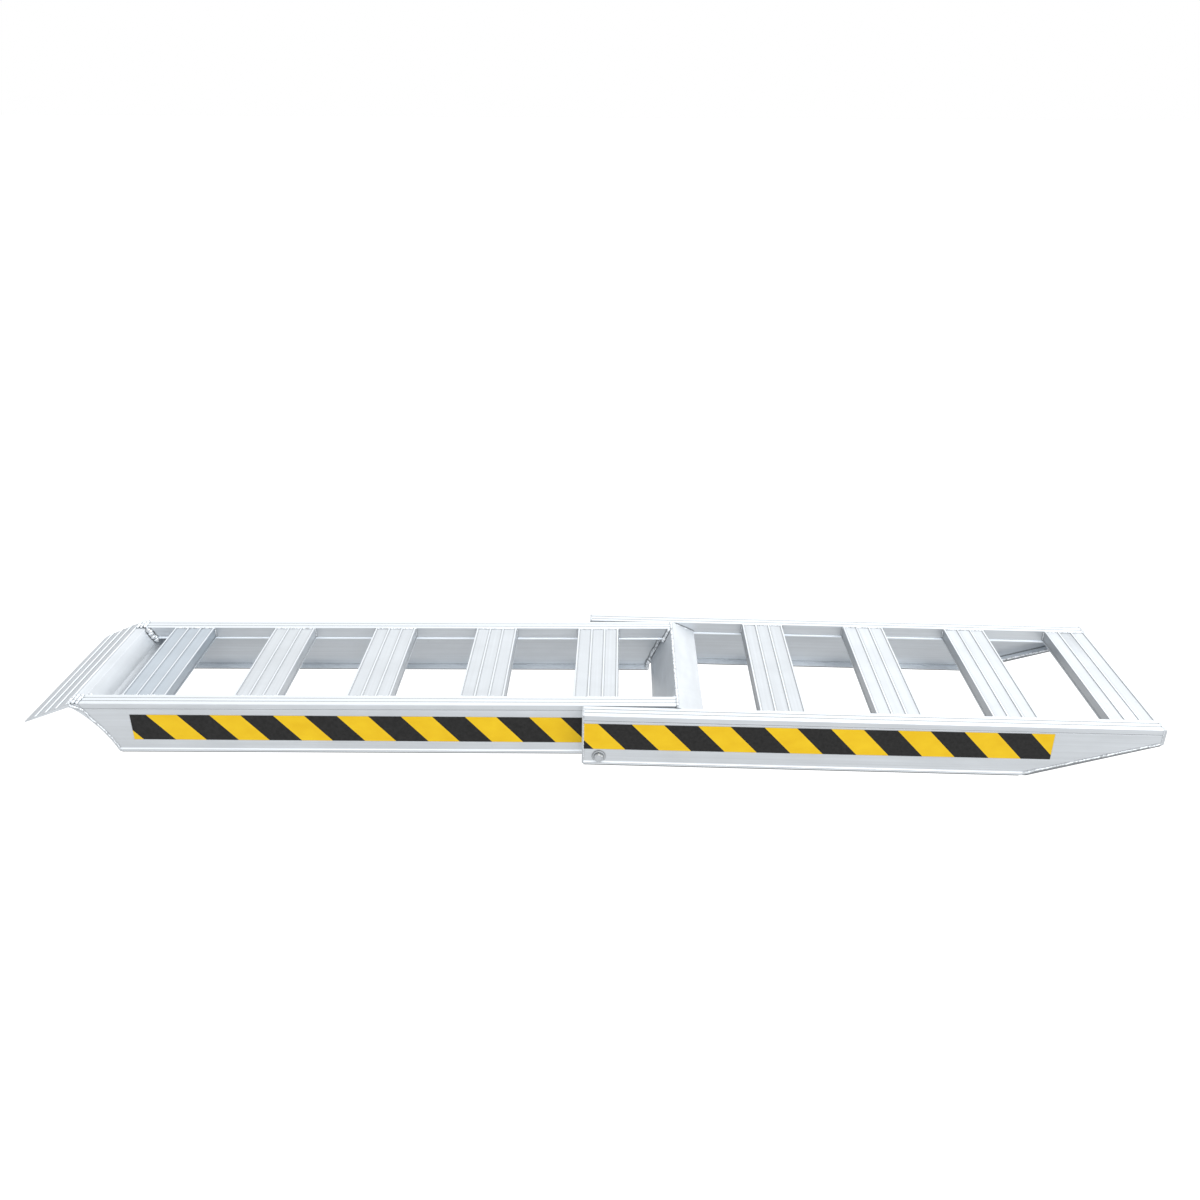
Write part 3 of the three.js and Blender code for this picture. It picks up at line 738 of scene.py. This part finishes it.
class RailEnd:
    """The cut end of an upper rail, at the hook or at the tail. side is 1 on the left (+y)."""

    def __init__(self, side, at_hook):
        rail = f"upper_rail_{'left' if side > 0 else 'right'}"
        points = upper.points(rail)
        low, high = upper.box(rail)
        self.side = side
        self.foot = low.z
        self.top = high.z
        self.face = max(side * high.y, side * low.y) - FOOT_PROUD
        self.cut = {}
        nearer = min if at_hook else max
        extreme = nearer(low.x, high.x)
        for p in points:
            if abs(side * p.y - self.face) < ON_FACE and abs(p.x - extreme) < RAIL_HEIGHT:
                z = round(p.z, HEIGHT_DIGITS)
                self.cut[z] = nearer(self.cut.get(z, p.x), p.x)

    def point(self, inward, z):
        """The point of the cut at a distance inward from the rail's outer face."""
        heights = sorted(self.cut)
        above = next((h for h in heights if h >= z), heights[-1])
        below = next((h for h in reversed(heights) if h <= z), heights[0])
        share = (z - below) / (above - below) if above > below else 0
        x = self.cut[below] + share * (self.cut[above] - self.cut[below])
        return Vector((x, self.side * (self.face - inward), z))

    def trace(self, corners):
        """A path on the cut through corners (inward, z), following its curve."""
        path = []
        for (inward_a, a), (inward_b, b) in zip(corners, corners[1:]):
            steps = max(1, round(abs(b - a) / TRACE_STEP))
            for i in range(steps):
                share = i / steps
                path.append(self.point(inward_a + share * (inward_b - inward_a), a + share * (b - a)))
        return path + [self.point(*corners[-1])]

    def outer(self, top_drop):
        """Down the outer face, from so far below the top."""
        return self.trace([(0, self.top - top_drop), (0, self.foot + LEDGE)])

    def inner(self):
        """Down the chord's inner wall, round the ledge, down the web and across the flange."""
        ledge = self.top - CHORD_DEPTH
        flange = self.foot + FLANGE_THICKNESS
        return self.trace([
            (RAIL_WIDTH, self.top), (RAIL_WIDTH, ledge), (RAIL_WIDTH + LEDGE, ledge),
            (RAIL_WIDTH + LEDGE, ledge - LEDGE), (RAIL_WEB, ledge - LEDGE), (RAIL_WEB, flange),
            (FLANGE_WIDTH, flange),
        ])

    def chord(self):
        """Down the chord's inner wall and past the ledge."""
        foot = self.top - CHORD_DEPTH - FAT_BEAD_PAST_LEDGE
        return self.trace([(RAIL_WIDTH, self.top - MOUND_RADIUS / 2), (RAIL_WIDTH, foot)])

    def ridge(self):
        """Where the stop angle's ridge lies along the rail."""
        return self.point(0, self.top).x + STOP_WALL / 2

    def over_top(self, x):
        """Across the rail's top at x."""
        return [Vector((x, self.side * (self.face - inward), self.top)) for inward in (0, RAIL_WIDTH)]


def inset(path, distance, side):
    """The path moved along the rail and inwards; a distance below 0 moves it towards the truck."""
    return [p + Vector((distance, -side * abs(distance), 0)) for p in path]


def hook_welds():
    """Each upper rail is welded to the hook all round, with a mound over the rail's top. Outside,
    the bead starts as coarse drops on the hook's thick end and runs on fine along the joint."""
    for side, word in SIDES:
        end = RailEnd(side, at_hook=True)
        crest = hook_crest(side).x
        joint = end.point(0, end.top - DROPS_DEPTH)
        start = Vector((crest + DROP_RADIUS, joint.y, end.top - DROP_RADIUS))
        weld(f"hook_drops_{word}", upper, [[start, joint]], DROP_RADIUS, RIPPLE)
        weld(f"hook_outer_weld_{word}", upper, [end.outer(DROPS_DEPTH)], OUTER_BEAD, OUTER_RIPPLE)
        thin = inset(end.inner(), INNER_BEAD_INSET, side)
        weld(f"hook_inner_weld_{word}", upper, [thin], INNER_BEAD, COARSE_RIPPLE)
        fat = inset(end.chord(), FAT_BEAD_INSET, side)
        weld(f"hook_chord_weld_{word}", upper, [fat], FAT_BEAD, FINE_RIPPLE)
        rail_start = end.point(0, end.top).x
        rows = [crest + (rail_start - crest) * (i + 0.5) / MOUND_ROWS for i in range(MOUND_ROWS)]
        mounds = [end.over_top(x) for x in rows]
        weld(f"hook_mound_{word}", upper, mounds, MOUND_RADIUS, COARSE_RIPPLE)


def stop_welds():
    """The stop angle is welded to the rails' slanted ends, with a bead along its ridge and a
    smooth one along each end of its landing leg."""
    high = upper.box("stop_angle")[1]
    toe = max(p.z for p in upper.points("stop_angle") if p.x > high.x - STOP_WALL)
    for side, word in SIDES:
        end = RailEnd(side, at_hook=False)
        inside = inset(end.inner(), -STOP_BEAD_INSET, side)
        weld(f"stop_inner_weld_{word}", upper, [inside], STOP_BEAD, RIPPLE)
        weld(f"stop_top_weld_{word}", upper, [end.over_top(end.ridge())], SEAM_BEAD, RIPPLE)
        y = side * (high.y - STOP_EDGE_INSET)
        shoulder = Vector((end.ridge(), y, end.top - STOP_WALL / 2))
        tip = Vector((high.x - STOP_WALL, y, toe))
        weld(f"stop_edge_{word}", upper, [[shoulder, tip]], STOP_EDGE_BEAD, SMOOTH_RIPPLE)
    right = RailEnd(-1, at_hook=False)
    inner = right.face - RAIL_WIDTH
    seam = [Vector((right.ridge(), y, right.top - SEAM_BEAD / 2)) for y in (-inner, inner)]
    weld("stop_ridge_weld", upper, [seam], SEAM_BEAD, RIPPLE)


def taper_welds():
    """The taper shoes have a bead along both of their long edges."""
    for side, word in SIDES:
        low, high = lower.box(f"taper_shoe_{word}")
        face = max(abs(low.y), abs(high.y))
        foot = low.z + FLANGE_THICKNESS + TAPER_BEAD / 2
        head = high.z + TAPER_BEAD / 2
        edges = (side * face, side * (face - FLANGE_WIDTH))
        joints = [[Vector((low.x, y, foot)), Vector((high.x, y, head))] for y in edges]
        weld(f"taper_weld_{word}", lower, joints, TAPER_BEAD, LONG_RIPPLE)


def cap_welds():
    """A fine bead round the joint of every end cap: up the outer face and over the top."""
    for cap, nearer in (("hinge_end_cap", max), ("nose_cap", min)):
        for word in ("left", "right"):
            low, high = lower.box(f"{cap}_{word}")
            x = nearer(low.x, high.x)
            outer, inner = sorted((low.y, high.y), key=abs, reverse=True)
            path = [Vector((x, outer, low.z)), Vector((x, outer, high.z)), Vector((x, inner, high.z))]
            weld(f"{cap}_weld_{word}", lower, [path], CAP_BEAD, FINE_RIPPLE)


# ---------------------------------------------------------------- pivot hardware

class Axle:
    """Draws turned parts about one side's pivot: r from the axis, and h outwards from the
    ramp's middle."""

    def __init__(self, side):
        self.side = side
        self.mesh = bmesh.new()

    def ring(self, radius, h, across_flats=None):
        """A ring of corners, round, or as far out as a hexagon allows."""
        corners = []
        for k in range(TURNED_SEGMENTS):
            angle = math.tau * k / TURNED_SEGMENTS
            r = radius
            if across_flats:
                from_flat = (angle + math.pi / 6) % (math.pi / 3) - math.pi / 6
                r = min(radius, across_flats / 2 / math.cos(from_flat))
            corners.append(self.mesh.verts.new((r * math.cos(angle), self.side * h, r * math.sin(angle))))
        return corners

    def skin(self, rings, closed=False):
        """Walls from ring to ring, and caps on both ends unless the profile is closed."""
        pairs = list(zip(rings, rings[1:])) + ([(rings[-1], rings[0])] if closed else [])
        for ring, following in pairs:
            for k in range(TURNED_SEGMENTS):
                n = (k + 1) % TURNED_SEGMENTS
                self.mesh.faces.new((ring[k], ring[n], following[n], following[k]))
        if not closed:
            self.mesh.faces.new(rings[0])
            self.mesh.faces.new(rings[-1])


def span_y(node):
    """How near and how far a pivot part lies from the ramp's middle."""
    low, high = lower.box(node)
    return sorted((abs(low.y), abs(high.y)))


def hexagon(node):
    """A hexagon's radius out to its corners, and its width across flats."""
    low, high = lower.box(node)
    corner = (high.x - low.x) / 2
    return corner, 2 * corner * math.cos(math.pi / 6)


def pivot_bolt(side, word):
    """A hexagon bolt with a chamfered head and a thread that ends in a chamfer."""
    tip, head = span_y(f"pivot_bolt_{word}")
    _, washer = span_y(f"outer_washer_{word}")
    nut, _ = span_y(f"pivot_nut_{word}")
    corner, flats = hexagon(f"pivot_bolt_{word}")
    edge = FACE_SHARE * flats / 2
    axle = Axle(side)
    rings = [axle.ring(BOLT_POINT * BOLT_RADIUS, tip)]
    turns = round((nut - tip + THREAD_BELOW_NUT) / THREAD_PITCH)
    for i in range(turns):
        h = tip + THREAD_CHAMFER + i * THREAD_PITCH
        rings.append(axle.ring(BOLT_RADIUS, h))
        rings.append(axle.ring(BOLT_RADIUS - THREAD_DEPTH, h + THREAD_PITCH / 2))
    rings.append(axle.ring(BOLT_RADIUS, tip + THREAD_CHAMFER + turns * THREAD_PITCH))
    rings.append(axle.ring(BOLT_RADIUS, washer))
    rings.append(axle.ring(corner, washer, flats))
    rings.append(axle.ring(corner, head - HEAD_CHAMFER, flats))
    rings.append(axle.ring(edge, head, flats))
    rings.append(axle.ring(edge * DISH_RIM, head))
    rings.append(axle.ring(edge * DISH_FLOOR, head - HEAD_DISH))
    axle.skin(rings)
    return axle.mesh


def pivot_washer(side, node):
    """A washer with broken edges."""
    near, far = span_y(node)
    low, high = lower.box(node)
    radius = (high.x - low.x) / 2
    axle = Axle(side)
    profile = [(BORE_RADIUS, near), (radius - WASHER_EDGE, near), (radius, near + WASHER_EDGE),
               (radius, far - WASHER_EDGE), (radius - WASHER_EDGE, far), (BORE_RADIUS, far)]
    axle.skin([axle.ring(r, h) for r, h in profile], closed=True)
    return axle.mesh


def pivot_nut(side, word):
    """A lock nut: chamfered hexagon and a round collar that holds its nylon ring."""
    near, far = span_y(f"pivot_nut_{word}")
    corner, flats = hexagon(f"pivot_nut_{word}")
    collar = near + NUT_COLLAR
    wide, narrow = (share * flats / 2 for share in COLLAR_SHARES)
    profile = [(BOLT_RADIUS, far), (FACE_SHARE * flats / 2, far), (corner, far - HEAD_CHAMFER),
               (corner, collar), (wide, collar - WASHER_EDGE), (narrow, near), (BOLT_RADIUS, near)]
    axle = Axle(side)
    axle.skin([axle.ring(r, h, flats) for r, h in profile], closed=True)
    return axle.mesh


def pivot_hardware():
    """Turned bolts, nuts and washers in place of the CAD's plain ones."""
    zinc = bpy.data.materials["lower_zinc_steel"]
    for side, word in SIDES:
        parts = {
            f"pivot_bolt_{word}": pivot_bolt(side, word),
            f"pivot_nut_{word}": pivot_nut(side, word),
            f"outer_washer_{word}": pivot_washer(side, f"outer_washer_{word}"),
            f"inner_washer_{word}": pivot_washer(side, f"inner_washer_{word}"),
        }
        for node, mesh in parts.items():
            piece = add_piece(f"turned_{node}", lower, mesh, zinc, smooth=False)
            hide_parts(node)


add_camera()
add_floor()
light_scene()
weld_finish = {section.word: weld_material(section) for section in (lower, upper)}
finish_nodes()
for section in (lower, upper):
    rung_welds(section)
hook_welds()
stop_welds()
taper_welds()
cap_welds()
pivot_hardware()
